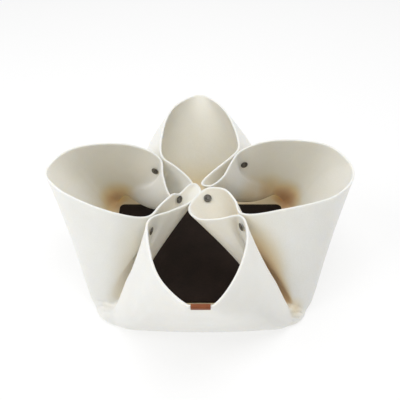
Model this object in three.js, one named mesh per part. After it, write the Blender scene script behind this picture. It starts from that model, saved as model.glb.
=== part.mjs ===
// Cat tunnel bed: one square felt sheet folded into four open lobes that meet over a flat floor,
// with a loose floor mat, press studs at the pinches and a leather tab on the front rim.
// Millimetres, +Z up, +X right, the front lobe faces -Y. The origin is the middle of the underside.
import * as THREE from 'three';

// Driving dimensions of the felt sheet
const FELT = 4;
const BASE_HALF = 200;
const BASE_BOW = 4;
const FLANK_OUT = 143;
const SHOULDER_RISE = 5;
const PINCH_GAP = 5.4;
const PINCH_SPREAD = 0.07;
const PINCH_FROM = 0.3;
const PINCH_FULL = 0.86;
const PANEL_SHARE = 0.16;
const VALLEY_FROM = 0.55;
const BULGE_FROM = 0.05;
const BULGE_PEAK = 0.38;
const BULGE_END = 0.68;

// The bend from floor to wall: on the sides, and what the noses of the corners add to it
const BEND_INSET = 16;
const BEND_LIFT = 22;
const BEND_REACH = 24;
const BEND_PULL = 15;
const NOSE_LIFT = 2;
const NOSE_PULL = 9;

// Mat, press studs and tab
const MAT_WIDTH = 362;
const MAT_DEPTH = 283;
const MAT_ROUND = 10;
const MAT_THICK = 6;
const STUD_RADIUS = 7.5;
const STUD_HEIGHT = 2.6;
const STUD_LIFT = 1.2;
const TAB_WIDTH = 29;
const TAB_FLAP = 9;
const TAB_LEATHER = 1.2;
const GAP = 0.3;
const TAB_GAP = 0.4;

// Mesh steps: samples on each span of a leaf's edge and of a mouth, rows in the bend and up the wall
const LEAF_STEPS = 2;
const MOUTH_STEPS = 4;
const RUN_STEPS = 1;
const BEND_ROWS = 4;
const WALL_ROWS = 12;
const MAT_STEPS = 6;
const STUD_SIDES = 16;

// Each lobe, in order round the floor: the bearing it faces, how far its rim reaches out, how far its
// middle is shifted sideways and the rim's height there, how far its side walls bulge out below the rim,
// and half the straight run of the rim at its middle. Then for each of its two flanks the width from the
// lobe's axis, the rim's height and how full the rim is between flank and middle.
const LOBES = [
  { name: 'front', bearing: -90, reach: 295, shift: 0, up: 183, bulge: 0, run: 16,
    startWidth: 88, startUp: 182, startFull: 0.69, endWidth: 77, endUp: 176, endFull: 0.66 },
  { name: 'right', bearing: 0, reach: 286, shift: 22, up: 192, bulge: 0, run: 0,
    startWidth: 88, startUp: 190, startFull: 0.69, endWidth: 114, endUp: 197, endFull: 0.755 },
  { name: 'back', bearing: 90, reach: 322, shift: 0, up: 184, bulge: 24, run: 0,
    startWidth: 77, startUp: 177, startFull: 0.64, endWidth: 80, endUp: 179, endFull: 0.7 },
  { name: 'left', bearing: 180, reach: 289, shift: -19, up: 191, bulge: 0, run: 0,
    startWidth: 108, startUp: 191, startFull: 0.75, endWidth: 96, endUp: 187, endFull: 0.62 },
];

// Stations along a leaf, from its pinch to its tip: how far along, and the share of its half width
const ROUND_LEAF = [
  { along: 0.3, width: 0.62 },
  { along: 0.65, width: 1.0 },
  { along: 0.93, width: 0.72 },
];
const SLIM_LEAF = [
  { along: 0.3, width: 0.42 },
  { along: 0.65, width: 1.0 },
  { along: 0.93, width: 0.8 },
];

// Each corner of the sheet, at the start of the lobe on the same row: the floor's radius there, the
// power by which the fans of the wall turn round it (below 1 they turn sooner), the sag of the valley
// there and how far up the wall it is deepest, where its two edges are pinched together, where its tip
// lies in the middle, the leaf's shape, its half width to the edge where that lobe starts and to its
// other edge, and how far the first of these edges stands above the leaf's middle line.
const CORNERS = [
  { name: 'front_left', round: 78, ease: 0.68, sag: 22, sagAt: 0.2, crossX: -90, crossY: -81, crossUp: 165,
    tipX: -8, tipY: 42, tipUp: 143, leaf: ROUND_LEAF, startHalf: 24, endHalf: 11, leafTilt: -4 },
  { name: 'front_right', round: 66, ease: 0.62, sag: 26, sagAt: 0.2, crossX: 71, crossY: -72, crossUp: 164,
    tipX: -11, tipY: -10, tipUp: 152, leaf: ROUND_LEAF, startHalf: 40, endHalf: 40, leafTilt: 9 },
  { name: 'back_right', round: 76, ease: 0.62, sag: 32, sagAt: 0.5, crossX: 78, crossY: 116, crossUp: 172,
    tipX: 2, tipY: 48, tipUp: 138, leaf: SLIM_LEAF, startHalf: 5, endHalf: 22, leafTilt: 0 },
  { name: 'back_left', round: 78, ease: 0.62, sag: 26, sagAt: 0.45, crossX: -79, crossY: 98, crossUp: 167,
    tipX: -14, tipY: 20, tipUp: 112, leaf: ROUND_LEAF, startHalf: 30, endHalf: 22, leafTilt: -6 },
];

// A stud cap from its back to its crown, in shares of its radius and of its height
const STUD_PROFILE = [
  { radius: 0, height: 0 },
  { radius: 0.4, height: 0 },
  { radius: 0.93, height: 0.35 },
  { radius: 1, height: 0.5 },
  { radius: 0.93, height: 0.7 },
  { radius: 0.5, height: 1 },
  { radius: 0, height: 1 },
];

// The studs at the pinches, one in each wall: the corner and the lobe whose wall it is in, how far it
// is from the pinch along the rim, and how far below the rim
const PINCH_STUDS = [
  { corner: 'front_left', lobe: 'front', shift: 9, drop: 24 },
  { corner: 'front_left', lobe: 'left', shift: 14, drop: 28 },
  { corner: 'front_right', lobe: 'front', shift: 12, drop: 18 },
  { corner: 'front_right', lobe: 'right', shift: 14, drop: 28 },
  { corner: 'back_right', lobe: 'right', shift: 6, drop: 37 },
  { corner: 'back_right', lobe: 'back', shift: 8, drop: 28 },
  { corner: 'back_left', lobe: 'back', shift: 14, drop: 28 },
  { corner: 'back_left', lobe: 'left', shift: 7, drop: 38 },
];

// The two studs that hold the front corners down, by their place seen from above
const TIP_STUDS = [
  { name: 'stud_front_left_tip', x: -42, y: 6 },
  { name: 'stud_front_right_tip', x: 13, y: -10 },
];

const CREAM_FELT = new THREE.MeshStandardMaterial({ color: 0xe9e5d8, roughness: 0.95, metalness: 0 });
const DARK_MAT = new THREE.MeshStandardMaterial({ color: 0x17110e, roughness: 0.9, metalness: 0 });
const GREY_METAL = new THREE.MeshStandardMaterial({ color: 0x6f6a60, roughness: 0.35, metalness: 0.9 });
const RUST_LEATHER = new THREE.MeshStandardMaterial({ color: 0x9a5236, roughness: 0.6, metalness: 0 });

const SIDES = LOBES.length;
const UP = new THREE.Vector3(0, 0, 1);

function smooth(low, high, value) {
  return THREE.MathUtils.smoothstep(value, low, high);
}

// A point given across and outward in a lobe's own directions
function lobePoint(lobe, across, out, up) {
  const angle = THREE.MathUtils.degToRad(lobe.bearing);
  const outward = new THREE.Vector3(Math.cos(angle), Math.sin(angle), 0);
  const sideways = new THREE.Vector3(-outward.y, outward.x, 0);
  return new THREE.Vector3(0, 0, up).addScaledVector(outward, out).addScaledVector(sideways, across);
}

// A corner's leaf: its pinch, its tip, the way from one to the other and the level way across
function leafFrame(corner) {
  const cross = new THREE.Vector3(corner.crossX, corner.crossY, corner.crossUp);
  const tip = new THREE.Vector3(corner.tipX, corner.tipY, corner.tipUp);
  const along = tip.clone().sub(cross);
  const across = new THREE.Vector3(along.y, -along.x, 0).normalize();
  return { cross, tip, along, across };
}

// A point on a leaf's edge; hand is 1 on the edge where the corner's own lobe starts, -1 on the other
function leafPoint(corner, station, hand) {
  const frame = leafFrame(corner);
  const point = frame.cross.clone().addScaledVector(frame.along, station.along);
  const half = hand > 0 ? corner.startHalf : corner.endHalf;
  point.addScaledVector(frame.across, hand * half * station.width);
  return point.addScaledVector(UP, hand * corner.leafTilt * station.width);
}

function pinchPoint(corner, hand) {
  const frame = leafFrame(corner);
  return frame.cross.addScaledVector(frame.across, hand * PINCH_GAP / 2);
}

// The rim between a flank and the middle of its lobe
function shoulderPoint(lobe, hand, width, up, full) {
  const across = lobe.shift + hand * full * (width - hand * lobe.shift);
  const out = FLANK_OUT + full * (lobe.reach - FLANK_OUT);
  return lobePoint(lobe, across, out, (up + lobe.up) / 2 + SHOULDER_RISE);
}

// The middle of a lobe's rim, with the ends of its straight run if it has one
function middleStations(lobe) {
  const at = (across) => lobePoint(lobe, lobe.shift + across, lobe.reach, lobe.up);
  if (lobe.run === 0) {
    return [{ point: at(0), steps: MOUTH_STEPS, middle: true }];
  }
  return [
    { point: at(-lobe.run), steps: RUN_STEPS },
    { point: at(0), steps: RUN_STEPS, middle: true },
    { point: at(lobe.run), steps: MOUTH_STEPS },
  ];
}

// The rim's stations on one side, from its starting corner's tip up to the next corner's tip
function sideStations(side) {
  const lobe = LOBES[side];
  const start = CORNERS[side];
  const end = CORNERS[(side + 1) % SIDES];
  const rising = start.leaf.map((station) => leafPoint(start, station, 1)).reverse();
  const falling = end.leaf.map((station) => leafPoint(end, station, -1));
  return [
    { point: leafFrame(start).tip, steps: LEAF_STEPS, tip: true },
    ...rising.map((point) => ({ point, steps: LEAF_STEPS })),
    { point: pinchPoint(start, 1), steps: LEAF_STEPS, pinch: true },
    { point: lobePoint(lobe, -lobe.startWidth, FLANK_OUT, lobe.startUp), steps: MOUTH_STEPS },
    { point: shoulderPoint(lobe, -1, lobe.startWidth, lobe.startUp, lobe.startFull), steps: MOUTH_STEPS },
    ...middleStations(lobe),
    { point: shoulderPoint(lobe, 1, lobe.endWidth, lobe.endUp, lobe.endFull), steps: MOUTH_STEPS },
    { point: lobePoint(lobe, lobe.endWidth, FLANK_OUT, lobe.endUp), steps: LEAF_STEPS },
    { point: pinchPoint(end, -1), steps: LEAF_STEPS, pinch: true },
    ...falling.map((point) => ({ point, steps: LEAF_STEPS })),
  ];
}

// Gives each sample of a side its place there: -1 at the first tip, 0 at the middle, 1 at the next tip
function placeOnSide(own, next) {
  const lengths = [0];
  own.forEach((sample, index) => {
    const after = index + 1 < own.length ? own[index + 1] : next;
    lengths.push(lengths[index] + sample.point.distanceTo(after.point));
  });
  const middle = lengths[own.findIndex((sample) => sample.middle)];
  const end = lengths[own.length] - middle;
  own.forEach((sample, index) => {
    const past = lengths[index] - middle;
    sample.place = past < 0 ? past / middle : past / end;
  });
}

// The closed rim as samples, each with its point, its side and its place on that side
function rimSamples() {
  const stations = [];
  for (let side = 0; side < SIDES; side += 1) {
    sideStations(side).forEach((station) => stations.push({ ...station, side }));
  }
  const curve = new THREE.CatmullRomCurve3(stations.map((station) => station.point), true, 'centripetal');
  const samples = [];
  stations.forEach((station, index) => {
    for (let step = 0; step < station.steps; step += 1) {
      const point = curve.getPoint((index + step / station.steps) / stations.length);
      const marks = step === 0 ? { pinch: station.pinch, middle: station.middle } : {};
      samples.push({ point, side: station.side, ...marks });
    }
  });
  for (let side = 0; side < SIDES; side += 1) {
    const own = samples.filter((sample) => sample.side === side);
    placeOnSide(own, samples.find((sample) => sample.side === (side + 1) % SIDES));
  }
  return samples;
}

// The corner that a place on a side belongs to
function cornerAt(side, place) {
  return CORNERS[place < 0 ? side : (side + 1) % SIDES];
}

// The floor's outline below a place on a side, with its outward direction. The lobe's flat front panel
// stands on the straight run, and the fans beside it stand on the corners' arcs.
function outlineAt(side, place) {
  const lobe = LOBES[side];
  const hand = Math.sign(place);
  const { round, ease } = cornerAt(side, place);
  const straight = BASE_HALF - round;
  const panel = Math.min(Math.abs(place) / PANEL_SHARE, 1);
  const fan = Math.max(0, Math.abs(place) - PANEL_SHARE) / (1 - PANEL_SHARE);
  const turn = fan ** ease * Math.PI / 4;
  const run = panel * (2 - panel);
  const across = hand * (straight * run + round * Math.sin(turn));
  const out = straight + round * Math.cos(turn) + BASE_BOW * (1 - run ** 2);
  return {
    point: lobePoint(lobe, across, out, 0),
    normal: lobePoint(lobe, hand * Math.sin(turn), Math.cos(turn), 0),
  };
}

// The bend from the edge of the flat floor to the foot of the wall under a rim point
function bendUnder(rimPoint, outline) {
  const floorEdge = outline.point.clone().addScaledVector(outline.normal, -BEND_INSET);
  floorEdge.z = FELT / 2;
  const lifted = outline.point.clone();
  lifted.z = BEND_LIFT;
  const lean = rimPoint.clone().sub(lifted).normalize().dot(outline.normal);
  const nose = smooth(0, 1, -lean);
  const wallFoot = lifted.addScaledVector(outline.normal, lean * BEND_REACH);
  wallFoot.z += NOSE_LIFT * nose;
  const wallWay = rimPoint.clone().sub(wallFoot).normalize();
  const pull = BEND_PULL + NOSE_PULL * nose;
  return new THREE.CubicBezierCurve3(
    floorEdge,
    floorEdge.clone().addScaledVector(outline.normal, pull),
    wallFoot.clone().addScaledVector(wallWay, -pull),
    wallFoot,
  );
}

// The sag of a valley on its way up the wall: 1 where it is deepest, 0 at both ends
function sagShape(rise, deepest) {
  const fall = 1 / deepest - 1;
  return rise * (1 - rise) ** fall / (deepest * (1 - deepest) ** fall);
}

// The bulge of a side wall on its way up: 1 half way, 0 at both ends
function bulgeShape(rise) {
  return 4 * rise * (1 - rise);
}

// One line of the sheet's middle surface, from the edge of the flat floor up to the rim
function sheetLine(sample, pinchPlace) {
  const outline = outlineAt(sample.side, sample.place);
  const bend = bendUnder(sample.point, outline);
  const points = [];
  for (let row = 0; row < BEND_ROWS; row += 1) {
    points.push(bend.getPoint(row / BEND_ROWS));
  }
  const edge = Math.abs(sample.place);
  const corner = cornerAt(sample.side, sample.place);
  const sag = corner.sag * smooth(VALLEY_FROM, 1, edge);
  const swell = smooth(BULGE_FROM, BULGE_PEAK, edge) - smooth(BULGE_PEAK, BULGE_END, edge);
  const bulge = LOBES[sample.side].bulge * swell;
  const pinch = Math.exp(-(((edge - pinchPlace) / PINCH_SPREAD) ** 2));
  for (let row = 0; row <= WALL_ROWS; row += 1) {
    const rise = row / WALL_ROWS;
    const point = bend.v3.clone().lerp(sample.point, rise);
    point.z -= sag * sagShape(rise, corner.sagAt);
    point.addScaledVector(outline.normal, bulge * bulgeShape(rise));
    const upright = pinch * smooth(PINCH_FROM, PINCH_FULL, rise);
    point.x += (sample.point.x - point.x) * upright;
    point.y += (sample.point.y - point.y) * upright;
    points.push(point);
  }
  return points;
}

// The whole middle surface as columns of points, each with a normal that points to the inside
function sheetGrid() {
  const samples = rimSamples();
  const pinches = samples.filter((sample) => sample.pinch);
  const columns = samples.map((sample) => {
    const corner = cornerAt(sample.side, sample.place);
    const own = pinches.find((other) => other.side === sample.side
      && cornerAt(other.side, other.place) === corner);
    return sheetLine(sample, Math.abs(own.place));
  });
  const rim = columns[0].length - 1;
  const normals = columns.map((column, index) => {
    const before = columns[(index + columns.length - 1) % columns.length];
    const after = columns[(index + 1) % columns.length];
    return column.map((point, row) => {
      if (row === 0) {
        return UP.clone();
      }
      const round = after[row].clone().sub(before[row]);
      const rise = column[Math.min(row + 1, rim)].clone().sub(column[row - 1]);
      return rise.cross(round).normalize();
    });
  });
  return { samples, columns, normals, rim };
}

// Collects points and four-sided faces into one closed body
class Body {
  constructor() {
    this.points = [];
    this.faces = [];
  }

  add(point) {
    this.points.push(point.x, point.y, point.z);
    return this.points.length / 3 - 1;
  }

  quad(a, b, c, d) {
    this.faces.push(a, b, c, a, c, d);
  }

  mesh(name, material) {
    const geometry = new THREE.BufferGeometry();
    geometry.setAttribute('position', new THREE.Float32BufferAttribute(this.points, 3));
    geometry.setIndex(this.faces);
    geometry.computeVertexNormals();
    return namedMesh(name, geometry, material);
  }
}

function namedMesh(name, geometry, material) {
  const mesh = new THREE.Mesh(geometry, material);
  mesh.name = name;
  return mesh;
}

function feltSheet(grid) {
  const body = new Body();
  const { columns, normals, rim } = grid;
  const layer = (shift) => columns.map((column, index) => column.map(
    (point, row) => body.add(point.clone().addScaledVector(normals[index][row], shift)),
  ));
  const inner = layer(FELT / 2);
  const outer = layer(-FELT / 2);
  columns.forEach((column, index) => {
    const next = (index + 1) % columns.length;
    for (let row = 0; row < rim; row += 1) {
      body.quad(outer[index][row], outer[next][row], outer[next][row + 1], outer[index][row + 1]);
      body.quad(inner[index][row], inner[index][row + 1], inner[next][row + 1], inner[next][row]);
    }
    body.quad(outer[index][rim], outer[next][rim], inner[next][rim], inner[index][rim]);
  });
  const floor = columns.map((column) => new THREE.Vector2(column[0].x, column[0].y));
  THREE.ShapeUtils.triangulateShape(floor, []).forEach(([a, b, c]) => {
    body.faces.push(inner[a][0], inner[b][0], inner[c][0]);
    body.faces.push(outer[a][0], outer[c][0], outer[b][0]);
  });
  return body.mesh('felt_sheet', CREAM_FELT);
}

function floorMat() {
  const shape = new THREE.Shape();
  const across = MAT_WIDTH / 2 - MAT_ROUND;
  const deep = MAT_DEPTH / 2 - MAT_ROUND;
  [[1, 1], [-1, 1], [-1, -1], [1, -1]].forEach(([x, y], turn) => {
    const from = turn * Math.PI / 2;
    shape.absarc(x * across, y * deep, MAT_ROUND, from, from + Math.PI / 2);
  });
  const settings = { depth: MAT_THICK, bevelEnabled: false, curveSegments: MAT_STEPS };
  const mat = namedMesh('floor_mat', new THREE.ExtrudeGeometry(shape, settings), DARK_MAT);
  mat.position.z = FELT + GAP;
  return mat;
}

// A domed stud cap whose back bulges to the felt, set on a point of the felt's face
function studCap(name, point, facing) {
  const profile = STUD_PROFILE.map(
    ({ radius, height }) => new THREE.Vector2(radius * STUD_RADIUS, height * STUD_HEIGHT),
  );
  const cap = namedMesh(name, new THREE.LatheGeometry(profile, STUD_SIDES), GREY_METAL);
  cap.position.copy(point).addScaledVector(facing, STUD_LIFT);
  cap.quaternion.setFromUnitVectors(new THREE.Vector3(0, 1, 0), facing);
  return cap;
}

// The point of a column that lies a distance below its rim
function pointBelowRim(column, drop) {
  let row = column.length - 1;
  let left = drop;
  while (left > column[row].distanceTo(column[row - 1])) {
    left -= column[row].distanceTo(column[row - 1]);
    row -= 1;
  }
  return column[row].clone().lerp(column[row - 1], left / column[row].distanceTo(column[row - 1]));
}

// The caps at the pinches, each on the inner face of its lobe's wall
function pinchStuds(grid) {
  const { samples, columns, rim } = grid;
  return PINCH_STUDS.map(({ corner, lobe, shift, drop }) => {
    const index = samples.findIndex((sample) => sample.pinch && LOBES[sample.side].name === lobe
      && cornerAt(sample.side, sample.place).name === corner);
    const column = columns[index];
    const beside = columns[index - Math.sign(samples[index].place)];
    const share = shift / column[rim].distanceTo(beside[rim]);
    const point = pointBelowRim(column, drop).lerp(pointBelowRim(beside, drop), share);
    const rising = pointBelowRim(column, drop - STUD_RADIUS).sub(pointBelowRim(beside, drop + STUD_RADIUS));
    const falling = pointBelowRim(column, drop + STUD_RADIUS).sub(pointBelowRim(beside, drop - STUD_RADIUS));
    const facing = rising.cross(falling).normalize();
    facing.multiplyScalar(Math.sign(facing.dot(grid.normals[index][rim - 1])));
    return studCap(`stud_${corner}_${lobe}`, point.addScaledVector(facing, FELT / 2), facing);
  });
}

// The caps on the two front corners, where a plumb line from above first meets the felt
function tipStuds(felt) {
  const height = Math.max(...LOBES.map((lobe) => lobe.up)) * 2;
  return TIP_STUDS.map(({ name, x, y }) => {
    const plumb = new THREE.Raycaster(new THREE.Vector3(x, y, height), UP.clone().negate());
    const [hit] = plumb.intersectObject(felt);
    return studCap(name, hit.point, hit.face.normal.clone());
  });
}

// The leather tab: a strip that follows the felt up one face, over the front rim and down the other
function leatherTab(grid) {
  const { samples, columns, normals, rim } = grid;
  const front = samples.findIndex((sample) => sample.middle && LOBES[sample.side].name === 'front');
  const middle = columns[front][rim];
  const facing = normals[front][rim];
  const down = columns[front][rim - 1].clone().sub(middle).normalize();
  const [left, right] = [-1, 1].map((hand) => {
    const beside = columns[front + hand][rim];
    return middle.clone().lerp(beside, TAB_WIDTH / 2 / middle.distanceTo(beside));
  });
  const body = new Body();
  const near = FELT / 2 + TAB_GAP;
  const far = near + TAB_LEATHER;
  const section = [
    [near, TAB_FLAP], [near, -TAB_GAP], [-near, -TAB_GAP], [-near, TAB_FLAP],
    [-far, TAB_FLAP], [-far, -TAB_GAP - TAB_LEATHER], [far, -TAB_GAP - TAB_LEATHER], [far, TAB_FLAP],
  ];
  const loops = [left, middle, right].map((top) => section.map(([side, drop]) => body.add(
    top.clone().addScaledVector(facing, side).addScaledVector(down, drop),
  )));
  const count = section.length;
  for (let index = 0; index + 1 < loops.length; index += 1) {
    for (let corner = 0; corner < count; corner += 1) {
      const next = (corner + 1) % count;
      body.quad(loops[index][corner], loops[index + 1][corner], loops[index + 1][next], loops[index][next]);
    }
  }
  const first = loops[0];
  const last = loops[loops.length - 1];
  [[0, 1, 6, 7], [1, 2, 5, 6], [2, 3, 4, 5]].forEach(([a, b, c, d]) => {
    body.quad(first[a], first[b], first[c], first[d]);
    body.quad(last[d], last[c], last[b], last[a]);
  });
  return body.mesh('leather_tab', RUST_LEATHER);
}

const grid = sheetGrid();
const felt = feltSheet(grid);
const bed = new THREE.Group();
bed.add(felt, floorMat(), ...pinchStuds(grid), ...tipStuds(felt), leatherTab(grid));
export default bed;
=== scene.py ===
# Cat tunnel bed: the looks of its felt sheet, floor mat, press studs and leather tab.
import math

import bpy
import numpy as np
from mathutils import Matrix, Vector, noise
from mathutils.bvhtree import BVHTree


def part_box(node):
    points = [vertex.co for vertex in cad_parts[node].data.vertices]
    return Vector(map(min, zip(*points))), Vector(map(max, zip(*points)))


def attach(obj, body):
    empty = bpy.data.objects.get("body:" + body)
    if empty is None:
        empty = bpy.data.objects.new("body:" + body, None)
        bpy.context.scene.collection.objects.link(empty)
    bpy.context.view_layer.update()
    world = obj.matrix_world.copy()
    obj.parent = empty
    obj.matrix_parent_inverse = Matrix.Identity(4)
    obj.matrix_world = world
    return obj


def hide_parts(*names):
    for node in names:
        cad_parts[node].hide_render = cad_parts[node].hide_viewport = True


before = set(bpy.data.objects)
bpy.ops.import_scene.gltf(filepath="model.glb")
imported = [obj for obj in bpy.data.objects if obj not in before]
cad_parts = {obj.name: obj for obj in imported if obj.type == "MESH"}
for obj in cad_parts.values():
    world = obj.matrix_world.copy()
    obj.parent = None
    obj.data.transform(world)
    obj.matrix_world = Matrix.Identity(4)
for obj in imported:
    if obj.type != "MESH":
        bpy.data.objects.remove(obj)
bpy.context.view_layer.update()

MM = 0.001

# Camera, fitted to the outlines of the floor and the rims in the photograph, a frame of 400 by 400 pixels
FRAME_PIXELS = 400
FOCAL_PIXELS = 550
CENTRE_PIXELS = (200.6, 204.6)
CAMERA_ELEVATION = 40
CAMERA_DISTANCE = 1.0528
CAMERA_TARGET = (0, 0, 0.1254)
SENSOR_WIDTH = 36

# The felt sheet, as in the part's source, with lengths in millimetres and the rest as shares. Only the gap
# at the pinches is wider here, so that the finer faces do not cut each other.
FELT = 4
BASE_HALF = 200
BASE_BOW = 4
FLANK_OUT = 143
SHOULDER_RISE = 5
PINCH_GAP = 7.0
PINCH_SPREAD = 0.07
PINCH_FROM = 0.3
PINCH_FULL = 0.86
PANEL_SHARE = 0.16
VALLEY_FROM = 0.55
BULGE_FROM = 0.05
BULGE_PEAK = 0.38
BULGE_END = 0.68
BEND_INSET = 16
BEND_LIFT = 22
BEND_REACH = 24
BEND_PULL = 15
NOSE_LIFT = 2
NOSE_PULL = 9

# Fine steps of the sheet's mesh
LEAF_STEPS = 8
MOUTH_STEPS = 16
RUN_STEPS = 8
BEND_ROWS = 18
WALL_ROWS = 52
FLOOR_RINGS = (0.97, 0.9, 0.75, 0.5, 0.25)

# The soft cut edge of the felt: a share of the half thickness, and how far the edge has dropped there
EDGE_STATIONS = ((-1.0, 1.1), (-0.72, 0.3), (-0.3, 0.0), (0.3, 0.0), (0.72, 0.3), (1.0, 1.1))

# Painted warm shade: the felt's colour is darkened and warmed where shade and warm bounced light fall, on the
# outside by how near the facing wall of a valley is, in millimetres, on the inside by the share of the way up
# the sheet
VALLEY_NEAR = 6
VALLEY_FAR = 110
VALLEY_REACH = 160
TINT_PASSES = 12
VALLEY_SHADES = dict(front=0.18, right=0.85, back=0.5, left=0.14)
VALLEY_RISE = (0.1, 0.28)
VALLEY_FADE = (0.55, 0.95)
VALLEY_TOP = 0.25
LEAF_PLAIN = (0.66, 0.78)
LEAF_TOP = (0.45, 0.8)
LEAF_SHADES = dict(front_left=0.1, front_right=0.2, back_right=0.12, back_left=0.03)
INSIDE_SHADE_FADE = (0.12, 0.5)
INSIDE_SHADE = 0.38
WALL_SHADE = 0.05

# The corners with the deepest painted shade, in millimetres: the middle, the radius and the tint, first those
# of the inner face, then the feet of the valleys on the outer face
SHADED_CORNERS = (
    dict(spot=(-190, 142, 20), radius=80, tint=0.7),
    dict(spot=(190, 148, 22), radius=82, tint=0.88),
    dict(spot=(142, 136, 40), radius=80, tint=0.58),
    dict(spot=(100, 104, 50), radius=80, tint=0.55),
    dict(spot=(-184, -142, 24), radius=80, tint=0.8),
    dict(spot=(188, -146, 24), radius=80, tint=0.8),
)
SHADED_VALLEY_FEET = (
    dict(spot=(-164, -158, 26), radius=26, tint=0.1),
    dict(spot=(170, -166, 22), radius=26, tint=0.42),
    dict(spot=(166, 164, 26), radius=34, tint=0.25),
    dict(spot=(-166, 164, 26), radius=34, tint=0.25),
)

# Unevenness of the felt, in millimetres, and where it fades: on the way up the sheet from the floor, near the
# rim, where less of it is left, and along a side's rim towards the pinches
WAVE_HEIGHT = 1.1
WAVE_LENGTH = 85
RIPPLE_HEIGHT = 0.25
RIPPLE_LENGTH = 22
WAVE_FROM = (0.1, 0.4)
WAVE_RIM = (0.8, 1)
WAVE_RIM_LOSS = 0.5
WAVE_CALM = (0.42, 0.58)

# The main creases seen in the photograph, in millimetres: the two ends, half the width, and the depth to
# the inside of the bed (below 0 it is a ridge to the outside)
CREASES = (
    dict(start=(-184, -150, 24), end=(-158, -157, 22), width=2.6, depth=2.2),
    dict(start=(-180, -157, 17), end=(-156, -170, 24), width=2.6, depth=2.2),
    dict(start=(-174, -168, 14), end=(-150, -179, 26), width=2.6, depth=2),
    dict(start=(179, -163, 22), end=(155, -176, 31), width=2.8, depth=2.4),
    dict(start=(181, -170, 14), end=(159, -179, 23), width=2.8, depth=2.4),
    dict(start=(174, -180, 11), end=(162, -183, 16), width=2.6, depth=2),
    dict(start=(-50, 0, 162), end=(-47, 3, 154), width=4.5, depth=-3),
    dict(start=(-206, 130, 50), end=(-188, 152, 22), width=6, depth=1.8),
    dict(start=(202, 136, 44), end=(186, 154, 20), width=6, depth=1.8),
    dict(start=(-200, -126, 58), end=(-245, -45, 185), width=24, depth=-2.5),
    dict(start=(197, -138, 55), end=(222, -60, 180), width=22, depth=-2.2),
    dict(start=(-112, -205, 70), end=(-84, -196, 160), width=18, depth=2.0),
    dict(start=(96, -226, 60), end=(70, -232, 150), width=20, depth=1.8),
    dict(start=(60, -262, 100), end=(20, -280, 150), width=16, depth=-1.4),
)

# The notch in the crumpled front left leaf: its side, its places along that side's rim, where it starts on
# the way up the sheet, and how far the rim is pressed down, in millimetres
NOTCH = dict(side="left", falling=(0.83, 0.89), rising=(0.895, 0.98), up_from=0.76, drop=12)

# The rim is straight under the leather tab: how far to each side of its middle the straight fades, in
# millimetres, and where it fades on the way up the sheet
STRAIGHT_REACH = (14.5, 21)
STRAIGHT_UP = (0.78, 0.93)

# Where a face of the sheet would turn over in a tight fold it is evened out: how often, and the least share
# of the middle surface's own step that a step of the face keeps
EASE_PASSES = 40
EASE_KEEP = 0.3

# The four lobes and, from the front left on, the four corners, as in the part's source, in millimetres and
# degrees. The full, ease and sag_at values and the stations of a leaf are shares.
LOBES = (
    dict(name="front", bearing=-90, reach=295, shift=0, up=183, bulge=0, run=16,
         start_width=88, start_up=182, start_full=0.69, end_width=77, end_up=176, end_full=0.66),
    dict(name="right", bearing=0, reach=286, shift=22, up=192, bulge=0, run=0,
         start_width=88, start_up=190, start_full=0.69, end_width=114, end_up=197, end_full=0.755),
    dict(name="back", bearing=90, reach=322, shift=0, up=184, bulge=24, run=0,
         start_width=77, start_up=177, start_full=0.64, end_width=80, end_up=179, end_full=0.7),
    dict(name="left", bearing=180, reach=289, shift=-19, up=191, bulge=0, run=0,
         start_width=108, start_up=191, start_full=0.75, end_width=96, end_up=187, end_full=0.62),
)
ROUND_LEAF = (dict(along=0.3, width=0.62), dict(along=0.65, width=1.0), dict(along=0.93, width=0.72))
SLIM_LEAF = (dict(along=0.3, width=0.42), dict(along=0.65, width=1.0), dict(along=0.93, width=0.8))
CORNERS = (
    dict(name="front_left", round=78, ease=0.68, sag=22, sag_at=0.2,
         cross=(-90, -81, 165), tip=(-8, 42, 143),
         leaf=ROUND_LEAF, start_half=24, end_half=11, leaf_tilt=-4),
    dict(name="front_right", round=66, ease=0.62, sag=26, sag_at=0.2,
         cross=(71, -72, 164), tip=(-11, -10, 152),
         leaf=ROUND_LEAF, start_half=40, end_half=40, leaf_tilt=9),
    dict(name="back_right", round=76, ease=0.62, sag=32, sag_at=0.5,
         cross=(78, 116, 172), tip=(2, 48, 138),
         leaf=SLIM_LEAF, start_half=5, end_half=22, leaf_tilt=0),
    dict(name="back_left", round=78, ease=0.62, sag=26, sag_at=0.45,
         cross=(-79, 98, 167), tip=(-14, 20, 112),
         leaf=ROUND_LEAF, start_half=30, end_half=22, leaf_tilt=-6),
)
SIDES = len(LOBES)
UP = np.array((0.0, 0.0, 1.0))


def smooth(low, high, value):
    share = np.clip((value - low) / (high - low), 0, 1)
    return share * share * (3 - 2 * share)


def unit(vector):
    return vector / np.linalg.norm(vector)


def lobe_point(lobe, across, out, up):
    angle = math.radians(lobe["bearing"])
    outward = np.array((math.cos(angle), math.sin(angle), 0))
    sideways = np.array((-outward[1], outward[0], 0))
    return UP * up + outward * out + sideways * across


def leaf_frame(corner):
    cross = np.array(corner["cross"], float)
    along = np.array(corner["tip"], float) - cross
    across = unit(np.array((along[1], -along[0], 0)))
    return cross, along, across


def leaf_point(corner, station, hand):
    cross, along, across = leaf_frame(corner)
    half = corner["start_half"] if hand > 0 else corner["end_half"]
    reach = hand * station["width"]
    return cross + along * station["along"] + across * half * reach + UP * corner["leaf_tilt"] * reach


def pinch_point(corner, hand):
    cross, _, across = leaf_frame(corner)
    return cross + across * hand * PINCH_GAP / 2


def shoulder_point(lobe, hand, flank):
    full = lobe[flank + "_full"]
    across = lobe["shift"] + hand * full * (lobe[flank + "_width"] - hand * lobe["shift"])
    out = FLANK_OUT + full * (lobe["reach"] - FLANK_OUT)
    return lobe_point(lobe, across, out, (lobe[flank + "_up"] + lobe["up"]) / 2 + SHOULDER_RISE)


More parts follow.
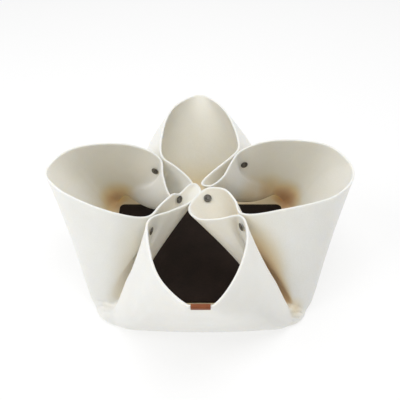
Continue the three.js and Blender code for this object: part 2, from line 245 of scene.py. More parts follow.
def middle_stations(lobe):
    """The middle of a lobe's rim, with the ends of its straight run if it has one."""
    def at(across):
        return lobe_point(lobe, lobe["shift"] + across, lobe["reach"], lobe["up"])

    if lobe["run"] == 0:
        return [(at(0), MOUTH_STEPS, "middle")]
    return [
        (at(-lobe["run"]), RUN_STEPS, ""),
        (at(0), RUN_STEPS, "middle"),
        (at(lobe["run"]), MOUTH_STEPS, ""),
    ]


def side_stations(side):
    """The rim's stations on one side: point, steps to the next, and a mark."""
    lobe, start, end = LOBES[side], CORNERS[side], CORNERS[(side + 1) % SIDES]
    rising = [(leaf_point(start, station, 1), LEAF_STEPS, "") for station in reversed(start["leaf"])]
    falling = [(leaf_point(end, station, -1), LEAF_STEPS, "") for station in end["leaf"]]
    return [
        (np.array(start["tip"], float), LEAF_STEPS, ""),
        *rising,
        (pinch_point(start, 1), LEAF_STEPS, "pinch"),
        (lobe_point(lobe, -lobe["start_width"], FLANK_OUT, lobe["start_up"]), MOUTH_STEPS, ""),
        (shoulder_point(lobe, -1, "start"), MOUTH_STEPS, ""),
        *middle_stations(lobe),
        (shoulder_point(lobe, 1, "end"), MOUTH_STEPS, ""),
        (lobe_point(lobe, lobe["end_width"], FLANK_OUT, lobe["end_up"]), LEAF_STEPS, ""),
        (pinch_point(end, -1), LEAF_STEPS, "pinch"),
        *falling,
    ]


def rim_curve(points, index, share):
    """A point of the closed centripetal curve through the stations."""
    count = len(points)
    p0, p1, p2, p3 = (points[(index + step) % count] for step in (-1, 0, 1, 2))
    d0, d1, d2 = (math.sqrt(np.linalg.norm(b - a)) for a, b in ((p0, p1), (p1, p2), (p2, p3)))
    t1 = ((p1 - p0) / d0 - (p2 - p0) / (d0 + d1) + (p2 - p1) / d1) * d1
    t2 = ((p2 - p1) / d1 - (p3 - p1) / (d1 + d2) + (p3 - p2) / d2) * d1
    c2 = 3 * (p2 - p1) - 2 * t1 - t2
    c3 = 2 * (p1 - p2) + t1 + t2
    return p1 + share * (t1 + share * (c2 + share * c3))


def rim_samples():
    """The closed rim as samples, each with its point, side, mark, and place on that side from -1 to 1."""
    stations = [(side, *station) for side in range(SIDES) for station in side_stations(side)]
    points = [station[1] for station in stations]
    samples = []
    for index, (side, _, steps, mark) in enumerate(stations):
        for step in range(steps):
            spot = rim_curve(points, index, step / steps)
            samples.append(dict(point=spot, side=side, mark=mark if step == 0 else ""))
    for side in range(SIDES):
        own = [sample for sample in samples if sample["side"] == side]
        after = next(sample for sample in samples if sample["side"] == (side + 1) % SIDES)
        spots = np.array([sample["point"] for sample in own] + [after["point"]])
        lengths = np.concatenate(([0], np.cumsum(np.linalg.norm(np.diff(spots, axis=0), axis=1))))
        middle = lengths[[sample["mark"] for sample in own].index("middle")]
        for sample, length in zip(own, lengths):
            past = length - middle
            sample["place"] = past / middle if past < 0 else past / (lengths[-1] - middle)
    return samples


def corner_at(side, place):
    return CORNERS[side if place < 0 else (side + 1) % SIDES]


def outline_at(side, place):
    """The floor's outline below a place on a side, and its outward direction."""
    lobe, corner = LOBES[side], corner_at(side, place)
    round_ = corner["round"]
    hand = np.sign(place)
    straight = BASE_HALF - round_
    panel = min(abs(place) / PANEL_SHARE, 1)
    fan = max(0, abs(place) - PANEL_SHARE) / (1 - PANEL_SHARE)
    turn = fan ** corner["ease"] * math.pi / 4
    run = panel * (2 - panel)
    across = hand * (straight * run + round_ * math.sin(turn))
    out = straight + round_ * math.cos(turn) + BASE_BOW * (1 - run ** 2)
    return lobe_point(lobe, across, out, 0), lobe_point(lobe, hand * math.sin(turn), math.cos(turn), 0)


def bend_under(rim_point, outline, normal):
    """The four control points of the bend from the flat floor to the foot of the wall."""
    floor_edge = outline - normal * BEND_INSET + UP * FELT / 2
    lifted = outline + UP * BEND_LIFT
    lean = unit(rim_point - lifted) @ normal
    nose = smooth(0, 1, -lean)
    foot = lifted + normal * lean * BEND_REACH + UP * NOSE_LIFT * nose
    pull = BEND_PULL + NOSE_PULL * nose
    return floor_edge, floor_edge + normal * pull, foot - unit(rim_point - foot) * pull, foot


def sag_shape(rise, deepest):
    """Sag of a valley on its way up the wall: 1 where it is deepest, 0 at both ends."""
    fall = 1 / deepest - 1
    return rise * (1 - rise) ** fall / (deepest * (1 - deepest) ** fall)


def sheet_line(sample, pinch_place):
    """One line of the sheet's middle surface, from the edge of the flat floor up to the rim."""
    rim = sample["point"]
    outline, normal = outline_at(sample["side"], sample["place"])
    a, b, c, d = bend_under(rim, outline, normal)
    share = (np.arange(BEND_ROWS) / BEND_ROWS)[:, None]
    left = 1 - share
    bend = a * left ** 3 + 3 * b * share * left ** 2 + 3 * c * share ** 2 * left + d * share ** 3
    rise = (np.arange(WALL_ROWS + 1) / WALL_ROWS)[:, None]
    wall = d + (rim - d) * rise
    edge = abs(sample["place"])
    corner = corner_at(sample["side"], sample["place"])
    wall -= UP * corner["sag"] * smooth(VALLEY_FROM, 1, edge) * sag_shape(rise, corner["sag_at"])
    swell = smooth(BULGE_FROM, BULGE_PEAK, edge) - smooth(BULGE_PEAK, BULGE_END, edge)
    wall += normal * LOBES[sample["side"]]["bulge"] * swell * 4 * rise * (1 - rise)
    pinch = math.exp(-(((edge - pinch_place) / PINCH_SPREAD) ** 2))
    upright = pinch * smooth(PINCH_FROM, PINCH_FULL, rise)
    wall[:, :2] += (rim[:2] - wall[:, :2]) * upright
    return np.vstack((bend, wall))


def grid_normals(grid):
    """Normals of the middle surface that point to the inside of the bed."""
    round_ = np.roll(grid, -1, axis=0) - np.roll(grid, 1, axis=0)
    rise = np.gradient(grid, axis=1)
    normals = np.cross(rise, round_)
    normals /= np.linalg.norm(normals, axis=2, keepdims=True)
    normals[:, 0] = UP
    return normals


def uneven(samples, grid, normals):
    """Adds the soft waves of thick felt, none on the floor and little at the rim."""
    rise = np.linspace(0, 1, grid.shape[1])
    fade = smooth(*WAVE_FROM, rise) * (1 - WAVE_RIM_LOSS * smooth(*WAVE_RIM, rise))
    for column, sample in enumerate(samples):
        calm = 1 - smooth(*WAVE_CALM, abs(sample["place"]))
        for row in range(grid.shape[1]):
            spot = Vector(grid[column, row])
            wave = WAVE_HEIGHT * noise.noise(spot / WAVE_LENGTH)
            wave += RIPPLE_HEIGHT * noise.noise(spot / RIPPLE_LENGTH)
            grid[column, row] += normals[column, row] * wave * fade[row] * calm
    return grid


def creased(grid, normals):
    """Presses the main creases into the sheet as soft troughs and ridges."""
    for crease in CREASES:
        start = np.array(crease["start"], float)
        way = np.array(crease["end"], float) - start
        share = np.clip((grid - start) @ way / (way @ way), 0, 1)
        gap = np.linalg.norm(grid - start - share[..., None] * way, axis=2)
        grid = grid + normals * (crease["depth"] * np.exp(-(gap / crease["width"]) ** 2))[..., None]
    return grid


def notched(samples, grid):
    """Presses the rim of the crumpled leaf down."""
    up = smooth(NOTCH["up_from"], 1, np.linspace(0, 1, grid.shape[1]))
    for column, sample in enumerate(samples):
        if LOBES[sample["side"]]["name"] == NOTCH["side"]:
            place = sample["place"]
            press = smooth(*NOTCH["falling"], place) * (1 - smooth(*NOTCH["rising"], place))
            grid[column] -= UP * (NOTCH["drop"] * press * up)[:, None]
    return grid


def front_middle(samples):
    return next(index for index, sample in enumerate(samples)
                if sample["mark"] == "middle" and LOBES[sample["side"]]["name"] == "front")


def rim_way(grid, column):
    return unit(grid[column + RUN_STEPS, -1] - grid[column - RUN_STEPS, -1])


def straightened(samples, grid):
    """Draws the front rim straight under the leather tab."""
    front = front_middle(samples)
    way = rim_way(grid, front)
    off = grid - grid[front]
    off -= (off @ way)[..., None] * way
    near = 1 - smooth(*STRAIGHT_REACH, np.linalg.norm(grid[:, -1] - grid[front, -1], axis=1))
    up = smooth(*STRAIGHT_UP, np.linspace(0, 1, grid.shape[1]))
    return grid - off * (near[:, None] * up)[..., None]


def eased(grid, normals, hand):
    """One face of the sheet, half the felt's thickness off its middle, evened out in the tight folds."""
    face = grid + normals * hand * FELT / 2
    round_ = np.roll(grid, -1, axis=0) - grid
    rise = grid[:, 1:] - grid[:, :-1]
    for _ in range(EASE_PASSES):
        step = np.roll(face, -1, axis=0) - face
        turned = (step * round_).sum(axis=2) < EASE_KEEP * (round_ * round_).sum(axis=2)
        turned |= np.roll(turned, 1, axis=0)
        even = (np.roll(face, 1, axis=0) + np.roll(face, -1, axis=0)) / 2
        face = np.where(turned[..., None], even, face)
        step = face[:, 1:] - face[:, :-1]
        short = (step * rise).sum(axis=2) < EASE_KEEP * (rise * rise).sum(axis=2)
        turned = short[:, 1:] | short[:, :-1]
        even = (face[:, 2:] + face[:, :-2]) / 2
        face[:, 1:-1] = np.where(turned[..., None], even, face[:, 1:-1])
    return face


def sheet_grid():
    """The rim's samples, the sheet's middle surface as columns of points under them, and its normals."""
    samples = rim_samples()
    columns = []
    for sample in samples:
        corner = corner_at(sample["side"], sample["place"])
        pinch = next(other for other in samples
                     if other["mark"] == "pinch" and other["side"] == sample["side"]
                     and corner_at(other["side"], other["place"]) is corner)
        columns.append(sheet_line(sample, abs(pinch["place"])))
    grid = notched(samples, np.array(columns))
    grid = creased(uneven(samples, grid, grid_normals(grid)), grid_normals(grid))
    grid = straightened(samples, grid)
    return samples, grid, grid_normals(grid)


def softened(tints):
    """Spreads the tints to their neighbours round the sheet and up it."""
    for _ in range(TINT_PASSES):
        beside = (np.roll(tints, 1, axis=0) + np.roll(tints, -1, axis=0)) / 2
        padded = np.pad(tints, ((0, 0), (1, 1)), mode="edge")
        tints = (2 * tints + beside + (padded[:, :-2] + padded[:, 2:]) / 2) / 4
    return tints


def with_shaded_corners(tints, grid, corners):
    for corner in corners:
        gap = np.linalg.norm(grid - np.array(corner["spot"], float), axis=2)
        tints = np.maximum(tints, corner["tint"] * (1 - smooth(0, corner["radius"], gap)))
    return tints


def painted_inner_shade(grid):
    """How much painted warm shade each point of the inner face gets: more towards the floor, and more so in
    the deep corners.
    """
    rows = grid.shape[1]
    rising = smooth(*INSIDE_SHADE_FADE, np.linspace(0, 1, rows))
    tints = np.broadcast_to(INSIDE_SHADE + (WALL_SHADE - INSIDE_SHADE) * rising, grid.shape[:2])
    return with_shaded_corners(tints, grid, SHADED_CORNERS)


def painted_valley_shade(samples, grid, normals):
    """How much painted warm shade each point of the outer face gets, from the way to the felt that faces it.
    """
    count, rows = grid.shape[:2]
    full = [VALLEY_SHADES[LOBES[sample["side"]]["name"]] for sample in samples]
    in_leaf = smooth(*LEAF_PLAIN, np.array([abs(sample["place"]) for sample in samples]))
    leaf = np.array([LEAF_SHADES[corner_at(sample["side"], sample["place"])["name"]] for sample in samples])
    depth = np.linspace(0, 1, rows)
    plain = in_leaf[:, None] * smooth(*LEAF_TOP, depth)
    band = smooth(*VALLEY_RISE, depth) * (1 - (1 - VALLEY_TOP) * smooth(*VALLEY_FADE, depth))
    quads = [(column * rows + row, (column + 1) % count * rows + row,
              (column + 1) % count * rows + row + 1, column * rows + row + 1)
             for column in range(count) for row in range(rows - 1)]
    tree = BVHTree.FromPolygons([tuple(point) for point in grid.reshape(-1, 3)], quads)
    tints = np.zeros((count, rows))
    for column in range(count):
        for row in range(rows):
            outward = -normals[column, row]
            start = grid[column, row] + outward * FELT
            way = tree.ray_cast(Vector(start), Vector(outward), VALLEY_REACH)[3]
            if way is not None:
                tints[column, row] = full[column] * (1 - smooth(VALLEY_NEAR, VALLEY_FAR, way))
    tints = softened(tints) * band * (1 - plain) + leaf[:, None] * plain
    return with_shaded_corners(tints, grid, SHADED_VALLEY_FEET)


def new_object(name, points, faces, smooth_faces=True):
    mesh = bpy.data.meshes.new(name)
    mesh.from_pydata([tuple(point) for point in points], [], faces)
    mesh.validate()
    mesh.update()
    for polygon in mesh.polygons:
        polygon.use_smooth = smooth_faces
    item = bpy.data.objects.new(name, mesh)
    bpy.context.scene.collection.objects.link(item)
    return item


def felt_sheet(samples, grid, normals):
    """The closed felt sheet: both faces, the soft cut edge, and the floor as rings round its middle."""
    count, rows = grid.shape[:2]
    up_rim = grid[:, -1] - grid[:, -2]
    up_rim /= np.linalg.norm(up_rim, axis=1, keepdims=True)
    points, faces, painted_shade, rim_highlight = [], [], [], []

    def add_ring(ring, shade_tint, highlight=0):
        first = len(points)
        points.extend(ring)
        painted_shade.extend(np.broadcast_to(shade_tint, count))
        rim_highlight.extend(np.broadcast_to(highlight, count))
        return first

    def bridge(a, b):
        for index in range(count):
            after = (index + 1) % count
            faces.append((a + index, a + after, b + after, b + index))

    rings = []
    middle = grid[:, 0].mean(axis=0)
    outer_shade, inner_shade = painted_valley_shade(samples, grid, normals), painted_inner_shade(grid)
    outer, inner = eased(grid, normals, -1), eased(grid, normals, 1)
    for share in FLOOR_RINGS[::-1]:
        ring = middle + (grid[:, 0] - middle) * share
        rings.append(add_ring(ring - UP * FELT / 2, 0))
    for row in range(rows - 1):
        rings.append(add_ring(outer[:, row], outer_shade[:, row]))
    # The rings of the cut edge carry no painted shade and the full painted highlight
    for share, drop in EDGE_STATIONS:
        ring = grid[:, -1] + normals[:, -1] * share * FELT / 2 - up_rim * drop
        rings.append(add_ring(ring, 0, 1))
    for row in range(rows - 2, -1, -1):
        rings.append(add_ring(inner[:, row], inner_shade[:, row]))
    # The floor's top face gets the inner face's painted shade
    for share in FLOOR_RINGS:
        ring = middle + (grid[:, 0] - middle) * share
        rings.append(add_ring(ring + UP * FELT / 2, INSIDE_SHADE))
    for a, b in zip(rings, rings[1:]):
        bridge(a, b)
    for ring, height, order in ((rings[0], -1, -1), (rings[-1], 1, 1)):
        centre = len(points)
        points.append(middle + UP * height * FELT / 2)
        painted_shade.append(0 if height < 0 else INSIDE_SHADE)
        rim_highlight.append(0)
        for index in range(count):
            after = (index + 1) % count
            faces.append((ring + index, ring + after, centre)[::order])
    item = new_object("felt_sheet_soft", np.array(points) * MM, faces)
    # The painted shade and the cut edge's painted highlight are kept as point attributes for the felt's
    # material
    for name, values in (("painted_shade", painted_shade), ("rim_highlight", rim_highlight)):
        layer = item.data.attributes.new(name, "FLOAT", "POINT")
        layer.data.foreach_set("value", np.array(values, np.float32))
    return item


samples, grid, normals = sheet_grid()
felt = felt_sheet(samples, grid, normals)


# Colours of the felt (its ground, its fibres, the painted warm shade that multiplies it, the flat pale colour
# of its cut edge, a painted highlight), the mat (its ground and fibres), the studs and the leather
FELT_GROUND = ((0.3, (0.84, 0.83, 0.77)), (0.7, (0.885, 0.875, 0.82)))
FELT_FIBRES = ((0.35, (0.76, 0.745, 0.67)), (0.65, (0.93, 0.92, 0.87)))
FELT_SHADE_COLOURS = ((0.0, (1, 1, 1)), (0.5, (0.89, 0.75, 0.57)), (1.0, (0.56, 0.35, 0.17)))
FELT_EDGE_HIGHLIGHT = (0.86, 0.845, 0.78, 1)
MAT_GROUND = ((0.3, (0.010, 0.0055, 0.004)), (0.7, (0.022, 0.012, 0.009)))
MAT_FIBRES = ((0.4, (0.005, 0.003, 0.002)), (0.7, (0.038, 0.023, 0.018)))
STUD_METAL = ((0.3, (0.06, 0.055, 0.047)), (0.7, (0.24, 0.225, 0.2)))
LEATHER = ((0.25, (0.19, 0.052, 0.018)), (0.75, (0.29, 0.088, 0.032)))
LEATHER_GRAIN = 0.0011
FELT_FIBRE_SHARE = 0.3
MAT_FIBRE_SHARE = 0.4


class Shader:
    """A short way to write a node material with one principled shader."""

    def __init__(self, name, **constants):
        self.material = bpy.data.materials.new(name)
        self.material.use_nodes = True
        self.nodes = self.material.node_tree.nodes
        self.links = self.material.node_tree.links
        self.principled = self.nodes["Principled BSDF"]
        for key, value in constants.items():
            self.principled.inputs[key.replace("_", " ")].default_value = value
        self.place = self.nodes.new("ShaderNodeTexCoord").outputs["Object"]

    def link(self, source, target):
        self.links.new(source, target)

    def noise(self, size, detail=3.0, roughness=0.55, stretch=None):
        """A noise whose grain is size metres, stretched along an axis where asked."""
        node = self.nodes.new("ShaderNodeTexNoise")
        node.inputs["Scale"].default_value = 1 / size
        node.inputs["Detail"].default_value = detail
        node.inputs["Roughness"].default_value = roughness
        place = self.place
        if stretch:
            mapping = self.nodes.new("ShaderNodeMapping")
            mapping.inputs["Scale"].default_value = stretch
            self.link(place, mapping.inputs["Vector"])
            place = mapping.outputs["Vector"]
        self.link(place, node.inputs["Vector"])
        return node.outputs["Fac"]

    def ramp(self, source, *stops):
        """A ramp through stops, each a position and a colour or one grey value."""
        node = self.nodes.new("ShaderNodeValToRGB")
        elements = node.color_ramp.elements
        while len(elements) < len(stops):
            elements.new(0.5)
        for element, (position, colour) in zip(elements, stops):
            element.position = position
            element.color = (*colour, 1) if hasattr(colour, "__len__") else (colour, colour, colour, 1)
        self.link(source, node.inputs["Fac"])
        return node.outputs["Color"]

    def mix(self, share, first, second, blend="MIX"):
        node = self.nodes.new("ShaderNodeMix")
        node.data_type = "RGBA"
        node.blend_type = blend
        for value, key in ((share, "Factor"), (first, "A"), (second, "B")):
            socket = node.inputs[key]
            if hasattr(value, "is_output"):
                self.link(value, socket)
            else:
                socket.default_value = value
        return node.outputs["Result"]

    def attribute(self, name):
        node = self.nodes.new("ShaderNodeAttribute")
        node.attribute_name = name
        return node.outputs["Fac"]

    def bump(self, *layers):
        """Stacks bumps, each a height, a strength and a depth in metres."""
        normal = None
        for height, strength, depth in layers:
            node = self.nodes.new("ShaderNodeBump")
            node.inputs["Strength"].default_value = strength
            node.inputs["Distance"].default_value = depth
            self.link(height, node.inputs["Height"])
            if normal:
                self.link(normal, node.inputs["Normal"])
            normal = node.outputs["Normal"]
        self.link(normal, self.principled.inputs["Normal"])

    def base(self, colour):
        self.link(colour, self.principled.inputs["Base Color"])

    def rough(self, source):
        self.link(source, self.principled.inputs["Roughness"])


def felt_material():
    shader = Shader("cream_felt", Sheen_Weight=0.25, Sheen_Roughness=0.6, Specular_IOR_Level=0.15,
                    Subsurface_Weight=0.9, Subsurface_Radius=(1.0, 0.9, 0.74), Subsurface_Scale=0.01)
    cloud = shader.noise(0.05, 4)
    fibre = shader.noise(0.0016, 3, 0.7, (1, 1, 3))
    fleck = shader.noise(0.006, 5, 0.7)
    plain = shader.ramp(cloud, *FELT_GROUND)
    hairy = shader.mix(FELT_FIBRE_SHARE, plain, shader.ramp(fibre, *FELT_FIBRES))
    # The painted warm shade multiplies the felt's colour
    tint = shader.ramp(shader.attribute("painted_shade"), *FELT_SHADE_COLOURS)
    tinted = shader.mix(1.0, hairy, tint, "MULTIPLY")
    # The cut edge gets a flat pale colour, a painted highlight
    shader.base(shader.mix(shader.attribute("rim_highlight"), tinted, FELT_EDGE_HIGHLIGHT))
    shader.rough(shader.ramp(fleck, (0.3, 0.88), (0.7, 0.98)))
    shader.bump((cloud, 0.25, 0.003), (fleck, 0.3, 0.0008), (fibre, 0.35, 0.0004))
    return shader.material


def mat_material():
    shader = Shader("dark_mat", Sheen_Weight=0.08, Sheen_Roughness=0.5, Specular_IOR_Level=0.2)
    fibre = shader.noise(0.0022, 4, 0.7, (1, 2, 1))
    cloud = shader.noise(0.04, 3)
    dark = shader.ramp(cloud, *MAT_GROUND)
    shader.base(shader.mix(MAT_FIBRE_SHARE, dark, shader.ramp(fibre, *MAT_FIBRES)))
    shader.rough(shader.ramp(fibre, (0.3, 0.85), (0.7, 0.98)))
    shader.bump((cloud, 0.3, 0.002), (fibre, 0.5, 0.0008))
    return shader.material


def stud_material():
    shader = Shader("stud_metal", Metallic=0.9, Specular_IOR_Level=0.5)
    scratch = shader.noise(0.0009, 4, 0.65, (1, 1, 5))
    cloud = shader.noise(0.004, 3)
    shader.base(shader.ramp(cloud, *STUD_METAL))
    shader.rough(shader.ramp(scratch, (0.3, 0.28), (0.7, 0.5)))
    shader.bump((scratch, 0.25, 0.0001))
    return shader.material


def leather_material():
    shader = Shader("rust_leather", Specular_IOR_Level=0.22)
    grain = shader.nodes.new("ShaderNodeTexVoronoi")
    grain.feature = "DISTANCE_TO_EDGE"
    grain.inputs["Scale"].default_value = 1 / LEATHER_GRAIN
    shader.link(shader.place, grain.inputs["Vector"])
    cloud = shader.noise(0.008, 4)
    shader.base(shader.ramp(cloud, *LEATHER))
    shader.rough(shader.ramp(cloud, (0.3, 0.45), (0.7, 0.62)))
    shader.bump((grain.outputs["Distance"], 0.35, 0.0002), (cloud, 0.3, 0.0006))
    return shader.material


felt.data.materials.append(felt_material())
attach(felt, "root")
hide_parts("felt_sheet")

# The floor mat: a flat cloth with soft rounded edges and slightly uneven sides, in millimetres. Each of its
# rings is a share of the outline and a share of the height. Its sides waver, its edge is lifted a little off
# the floor, and its top swells by a noise, for which some room is left below the CAD top.
MAT_STEPS = 56
MAT_CORNER_STEPS = 8
MAT_ROUND = 10
MAT_RINGS = (
    (1.0, 0.18), (0.997, 0.5), (0.99, 0.86), (0.975, 1.0), (0.9, 1.0), (0.7, 1.0), (0.45, 1.0), (0.2, 1.0),
)
MAT_WAVER = 0.8
MAT_WAVER_LENGTH = 30
MAT_EDGE_LIFT = 1.2
MAT_SWELL = 0.5
MAT_SWELL_LENGTH = 45
MAT_SWELL_LAYER = 9
MAT_SWELL_FADE = (1.0, 0.9)
MAT_TOP_ROOM = 0.4


def mat_outline(half_x, half_y):
    points = []
    corners = ((1, 1), (-1, 1), (-1, -1), (1, -1))
    for turn, (x, y) in enumerate(corners):
        middle = np.array((x * (half_x - MAT_ROUND), y * (half_y - MAT_ROUND)))
        for step in range(MAT_CORNER_STEPS + 1):
            angle = (turn + step / MAT_CORNER_STEPS) * math.pi / 2
            points.append(middle + MAT_ROUND * np.array((math.cos(angle), math.sin(angle))))
        x, y = corners[(turn + 1) % len(corners)]
        start = points[-1]
        end = np.array((x * (half_x - MAT_ROUND), y * (half_y - MAT_ROUND)))
        end = end + MAT_ROUND * np.array((math.cos(angle), math.sin(angle)))
        points.extend(start + (end - start) * step / MAT_STEPS for step in range(1, MAT_STEPS))
    return np.array(points)


def floor_mat():
    low, high = (np.array(corner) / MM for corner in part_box("floor_mat"))
    outline = mat_outline(*((high - low)[:2] / 2))
    for point in outline:
        waver = noise.noise(Vector((point[0], point[1], 0)) / MAT_WAVER_LENGTH)
        point -= unit(point) * MAT_WAVER * (0.5 + 0.5 * waver)
    count = len(outline)
    points, faces, rings = [], [], []
    for share, height in MAT_RINGS[::-1]:
        rings.append(len(points))
        points.extend((x * share, y * share, low[2] + (1 - height) * MAT_EDGE_LIFT) for x, y in outline)
    thick = high[2] - low[2] - MAT_TOP_ROOM
    for share, height in MAT_RINGS:
        rings.append(len(points))
        for x, y in outline:
            spot = Vector((x * share, y * share, MAT_SWELL_LAYER))
            swell = MAT_SWELL * noise.noise(spot / MAT_SWELL_LENGTH) * smooth(*MAT_SWELL_FADE, share)
            points.append((x * share, y * share, low[2] + thick * height + swell * height))
    for a, b in zip(rings, rings[1:]):
        for index in range(count):
            after = (index + 1) % count
            faces.append((a + index, a + after, b + after, b + index))
    faces.append(tuple(range(rings[0], rings[0] + count))[::-1])
    faces.append(tuple(range(rings[-1], rings[-1] + count)))
    return new_object("floor_mat_soft", np.array(points) * MM, faces)


mat = floor_mat()
mat.data.materials.append(mat_material())
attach(mat, "root")
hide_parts("floor_mat")

# A press stud's cap, turned from a profile: the radius and the height above its back, in millimetres
STUD_SIDES = 40
STUD_PROFILE = (
    (0.0, 0.0), (3.0, 0.0), (6.7, 0.9), (7.3, 1.05), (7.5, 1.4), (7.3, 1.85),
    (6.6, 2.25), (5.7, 2.35), (5.2, 2.1), (4.9, 1.6), (4.3, 1.45), (3.9, 1.7),
    (3.6, 2.3), (3.0, 2.6), (2.1, 2.55), (1.6, 2.2), (1.2, 1.7), (0.0, 1.6),
)
metal = stud_material()
cad_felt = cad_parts["felt_sheet"].data
felt_tree = BVHTree.FromPolygons([vertex.co for vertex in cad_felt.vertices],
                                 [tuple(polygon.vertices) for polygon in cad_felt.polygons])


def stud_cap(name):
    """A turned cap in the place of the CAD stud, its open face away from the felt."""
    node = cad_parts[name]
    spots = np.array([vertex.co for vertex in node.data.vertices])
    middle = spots.mean(axis=0)
    axis = np.linalg.svd(spots - middle, full_matrices=False)[2][2]
    on_felt = np.array(felt_tree.find_nearest(Vector(middle))[0])
    axis *= np.sign(axis @ (middle - on_felt))
    along = (spots - middle) @ axis
    back = middle + axis * along.min()
    turn = Vector((0, 0, 1)).rotation_difference(Vector(axis)).to_matrix()
    points, faces = [], []
    for radius, height in STUD_PROFILE[1:-1]:
        for side in range(STUD_SIDES):
            angle = side / STUD_SIDES * 2 * math.pi
            local = Vector((radius * math.cos(angle), radius * math.sin(angle), height)) * MM
            points.append(Vector(back) + turn @ local)
    last = len(STUD_PROFILE) - 3
    for ring in range(last):
        for side in range(STUD_SIDES):
            after = (side + 1) % STUD_SIDES
            a, b = ring * STUD_SIDES, (ring + 1) * STUD_SIDES
            faces.append((a + side, a + after, b + after, b + side))
    for ring, (_, height), order in ((0, STUD_PROFILE[0], -1), (last, STUD_PROFILE[-1], 1)):
        first, tip = ring * STUD_SIDES, len(points)
        points.append(Vector(back) + turn @ Vector((0, 0, height * MM)))
        for side in range(STUD_SIDES):
            face = (first + side, first + (side + 1) % STUD_SIDES, tip)
            faces.append(face[::order])
    cap = new_object(name + "_cap", points, faces)
    cap.data.materials.append(metal)
    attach(cap, "root")
    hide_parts(name)


for node_name in sorted(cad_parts):
    if node_name.startswith("stud_"):
        stud_cap(node_name)

# The leather tab: a strip over the front rim, its section given in the felt's own directions, in millimetres.
# Its fold turns with a radius in shares of the leather, and its edges are worn round.
TAB_WIDTH = 29
TAB_FLAP = 9
TAB_LEATHER = 1.2
TAB_GAP = 0.4
TAB_COLUMNS = 14
TAB_FALL_ROWS = 4
TAB_FLAP_STEPS = 8
TAB_TURN_STEPS = 6
TAB_TURN = 1.2
TAB_WEAR = 0.35
TAB_WEAR_STEPS = 2
TAB_WEAR_DEGREES = 50


def tab_path():
    """The strip's middle line as (across the felt, below the rim), and its outward direction there."""
    near = FELT / 2 + TAB_GAP + TAB_LEATHER / 2
    turn_radius = TAB_LEATHER * TAB_TURN
    path = [((near, TAB_FLAP * (1 - step / TAB_FLAP_STEPS)), (1, 0))
            for step in range(TAB_FLAP_STEPS)]
    top = -TAB_GAP - TAB_LEATHER / 2
    for hand in (1, -1):
        middle = np.array((hand * (near - turn_radius), top + turn_radius))
        for step in range(TAB_TURN_STEPS + 1):
            share = step / TAB_TURN_STEPS if hand > 0 else 1 - step / TAB_TURN_STEPS
            angle = share * math.pi / 2
            way = np.array((hand * math.cos(angle), -math.sin(angle)))
            path.append((tuple(middle + way * turn_radius), tuple(way)))
    path.extend(((-near, TAB_FLAP * step / TAB_FLAP_STEPS), (-1, 0))
                for step in range(1, TAB_FLAP_STEPS + 1))
    return path


def leather_tab():
    front = front_middle(samples)
    middle, facing = grid[front, -1], normals[front, -1]
    fall = unit(grid[front, -1 - TAB_FALL_ROWS] - middle)
    along = rim_way(grid, front)
    path = tab_path()
    loops = []
    for column in range(TAB_COLUMNS + 1):
        top = middle + along * (column / TAB_COLUMNS - 0.5) * TAB_WIDTH
        outer = [top + facing * (p[0] + w[0] * TAB_LEATHER / 2) + fall * (p[1] + w[1] * TAB_LEATHER / 2)
                 for p, w in path]
        inner = [top + facing * (p[0] - w[0] * TAB_LEATHER / 2) + fall * (p[1] - w[1] * TAB_LEATHER / 2)
                 for p, w in path]
        loops.append(outer + inner[::-1])
    size = len(loops[0])
    faces = []
    for column in range(TAB_COLUMNS):
        for index in range(size):
            after = (index + 1) % size
            a, b = column * size, (column + 1) * size
            faces.append((a + index, b + index, b + after, a + after))
    half = size // 2
    for column, order in ((0, 1), (TAB_COLUMNS, -1)):
        for index in range(half - 1):
            face = [index, index + 1, size - 2 - index, size - 1 - index]
            faces.append(tuple(column * size + value for value in face)[::order])
    points = np.array([spot for loop in loops for spot in loop]) * MM
    strip = new_object("leather_tab_soft", points, faces)
    bevel = strip.modifiers.new("worn_edges", "BEVEL")
    bevel.width = TAB_WEAR * MM
    bevel.segments = TAB_WEAR_STEPS
    bevel.limit_method = "ANGLE"
    bevel.angle_limit = math.radians(TAB_WEAR_DEGREES)
    return strip


tab = leather_tab()
tab.data.materials.append(leather_material())
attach(tab, "root")
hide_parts("leather_tab")

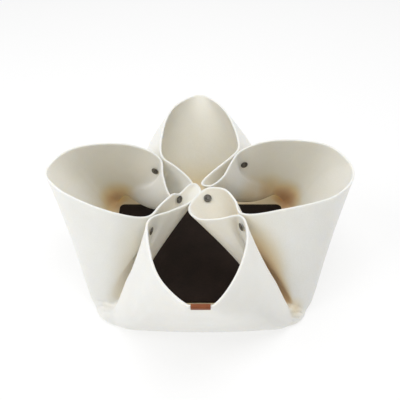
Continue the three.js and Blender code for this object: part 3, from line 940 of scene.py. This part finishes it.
# The studio, in metres and watts: a pale floor, two soft lights and an even white surround
WHITE = (1, 1, 1, 1)
STAGE_HALF = 60
STAGE_GREY = (0.4, 0.4, 0.4, 1)
STAGE_GLOW = 0.6
LIGHTS = (
    dict(name="key", place=(-1.8, -0.6, 1.7), size=1.6, power=18),
    dict(name="top", place=(0.3, 0.2, 2.4), size=2.2, power=27),
)
LIGHT_TARGET = (0, 0, 0.1)
SURROUND = 0.52


def stage_floor():
    corners = ((-1, -1), (1, -1), (1, 1), (-1, 1))
    points = [(x * STAGE_HALF, y * STAGE_HALF, 0) for x, y in corners]
    floor = new_object("stage_floor", points, [(0, 1, 2, 3)], False)
    shader = Shader("stage_white", Specular_IOR_Level=0.0, Roughness=1.0, Emission_Strength=STAGE_GLOW)
    shader.principled.inputs["Base Color"].default_value = STAGE_GREY
    shader.principled.inputs["Emission Color"].default_value = WHITE
    floor.data.materials.append(shader.material)


def area_light(name, place, size, power):
    data = bpy.data.lights.new(name, "AREA")
    data.shape = "DISK"
    data.size = size
    data.energy = power
    light = bpy.data.objects.new(name, data)
    light.location = place
    light.rotation_euler = (Vector(LIGHT_TARGET) - Vector(place)).to_track_quat("-Z", "Y").to_euler()
    bpy.context.scene.collection.objects.link(light)


def camera():
    data = bpy.data.cameras.new("camera")
    data.sensor_width = SENSOR_WIDTH
    data.lens = SENSOR_WIDTH * FOCAL_PIXELS / FRAME_PIXELS
    data.shift_x = (FRAME_PIXELS / 2 - CENTRE_PIXELS[0]) / FRAME_PIXELS
    data.shift_y = (CENTRE_PIXELS[1] - FRAME_PIXELS / 2) / FRAME_PIXELS
    item = bpy.data.objects.new("camera", data)
    tilt = math.radians(CAMERA_ELEVATION)
    back = Vector((0, -math.cos(tilt), math.sin(tilt)))
    item.location = Vector(CAMERA_TARGET) + CAMERA_DISTANCE * back
    item.rotation_euler = (math.pi / 2 - tilt, 0, 0)
    bpy.context.scene.collection.objects.link(item)
    bpy.context.scene.camera = item


stage_floor()
for row in LIGHTS:
    area_light(**row)
world = bpy.data.worlds.new("studio")
world.use_nodes = True
world.node_tree.nodes["Background"].inputs["Color"].default_value = WHITE
world.node_tree.nodes["Background"].inputs["Strength"].default_value = SURROUND
bpy.context.scene.world = world
bpy.context.scene.view_settings.view_transform = "Standard"
camera()
